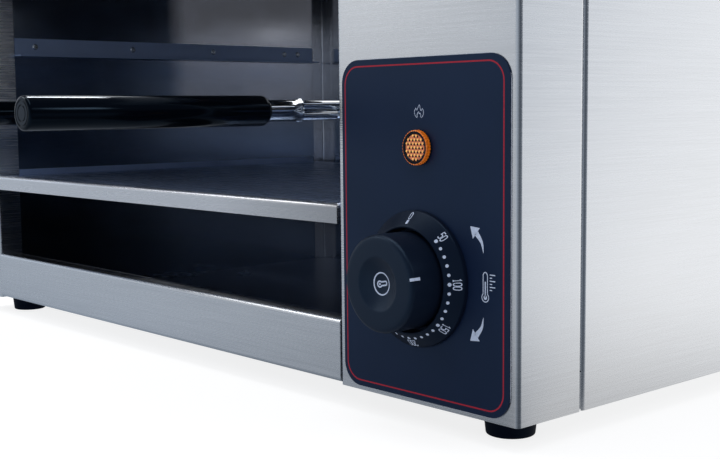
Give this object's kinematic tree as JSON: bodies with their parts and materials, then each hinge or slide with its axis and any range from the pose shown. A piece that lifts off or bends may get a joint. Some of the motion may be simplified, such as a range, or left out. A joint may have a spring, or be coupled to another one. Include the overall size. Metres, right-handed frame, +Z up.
{
  "type": "open-front electric grill",
  "caption": "Open-front stainless counter-top grill with a slide-out wire rack and shelf, tubular elements under the roof and a control column with a dial thermostat and pilot lamp.",
  "frame": {"origin": "middle of the whole outline, on the surface that the feet stand on", "axes": "+X to the user's right, +Y to the back, +Z up; the user stands at -Y"},
  "size_m": [0.6, 0.556, 0.343],
  "materials": {
    "brushed_stainless": "horizontally brushed stainless sheet, satin",
    "plain_stainless": "mill-finish stainless sheet",
    "bright_annealed_stainless": "bright annealed stainless sheet, soft reflections",
    "rivet_steel": "stainless blind rivets",
    "chromed_steel": "bright chrome-plated wire",
    "black_phenolic": "moulded black phenolic, glossy",
    "element_sheath": "heat-darkened alloy sheath",
    "brass_fittings": "turned brass",
    "copper_capillary": "drawn copper tube",
    "zinc_plated_steel": "zinc plated",
    "thermostat_housing": "moulded cream housing",
    "terminal_ceramic": "glazed porcelain",
    "black_nylon": "moulded black nylon",
    "dial_black": "moulded satin black, with white scale printing",
    "knob_black": "moulded satin black",
    "pointer_white": "white inlay",
    "overlay_film": "dark blue satin film with a fine red outline",
    "lamp_housing": "moulded dark housing",
    "amber_lens": "moulded amber lens with a prismatic back",
    "foot_rubber": "moulded black rubber"
  },
  "bodies": {
    "chassis": {"back_panel": "plain_stainless", "back_panel_screws": "zinc_plated_steel", "base_pan": "plain_stainless", "bulb_clips": "bright_annealed_stainless", "cable_gland": "black_nylon", "cable_gland_nut": "black_nylon", "cavity_back_wall": "bright_annealed_stainless", "cavity_left_wall": "bright_annealed_stainless", "cavity_right_wall": "bright_annealed_stainless", "cavity_roof": "bright_annealed_stainless", "control_overlay": "overlay_film", "dial_bezel": "dial_black", "element_bushes": "brass_fittings", "element_holder": "bright_annealed_stainless", "element_nuts": "brass_fittings", "foot_front_left": "foot_rubber", "foot_front_right": "foot_rubber", "foot_rear_left": "foot_rubber", "foot_rear_right": "foot_rubber", "foot_screws": "zinc_plated_steel", "front_rail": "brushed_stainless", "heating_element_front": "element_sheath", "heating_element_rear": "element_sheath", "left_column": "brushed_stainless", "left_side_panel": "brushed_stainless", "pilot_lamp_body": "lamp_housing", "pilot_lamp_lens": "amber_lens", "pilot_lamp_nut": "brass_fittings", "rear_corner_angle_left": "bright_annealed_stainless", "rear_corner_angle_right": "bright_annealed_stainless", "right_control_column": "brushed_stainless", "right_side_panel": "brushed_stainless", "runner_left_1": "bright_annealed_stainless", "runner_left_2": "bright_annealed_stainless", "runner_left_3": "bright_annealed_stainless", "runner_right_1": "bright_annealed_stainless", "runner_right_2": "bright_annealed_stainless", "runner_right_3": "bright_annealed_stainless", "runner_rivets": "rivet_steel", "terminal_block": "terminal_ceramic", "thermostat_body": "thermostat_housing", "thermostat_bulb": "copper_capillary", "thermostat_screws": "zinc_plated_steel", "top_cover": "brushed_stainless", "top_fascia": "brushed_stainless"},
    "rack": {"handle_ferrule_left": "chromed_steel", "handle_ferrule_right": "chromed_steel", "handle_grip_left": "black_phenolic", "handle_grip_right": "black_phenolic", "handle_rod_left": "chromed_steel", "handle_rod_right": "chromed_steel", "wire_rack": "chromed_steel"},
    "shelf": {"middle_shelf": "bright_annealed_stainless"},
    "knob": {"knob": "knob_black", "knob_pointer": "pointer_white", "thermostat_shaft": "zinc_plated_steel"}
  },
  "joints": [
    {"name": "rack_slide", "type": "slide", "parent": "chassis", "child": "rack", "axis": [0, -1, 0], "range_m": [0, 0.3]},
    {"name": "shelf_slide", "type": "slide", "parent": "chassis", "child": "shelf", "axis": [0, -1, 0], "range_m": [0, 0.3]},
    {"name": "knob_turn", "type": "hinge", "parent": "chassis", "child": "knob", "pos_m": [0.2328, -0.14, 0.0794], "axis": [0, -1, 0], "range_deg": [-189, 78.5]}
  ]
}
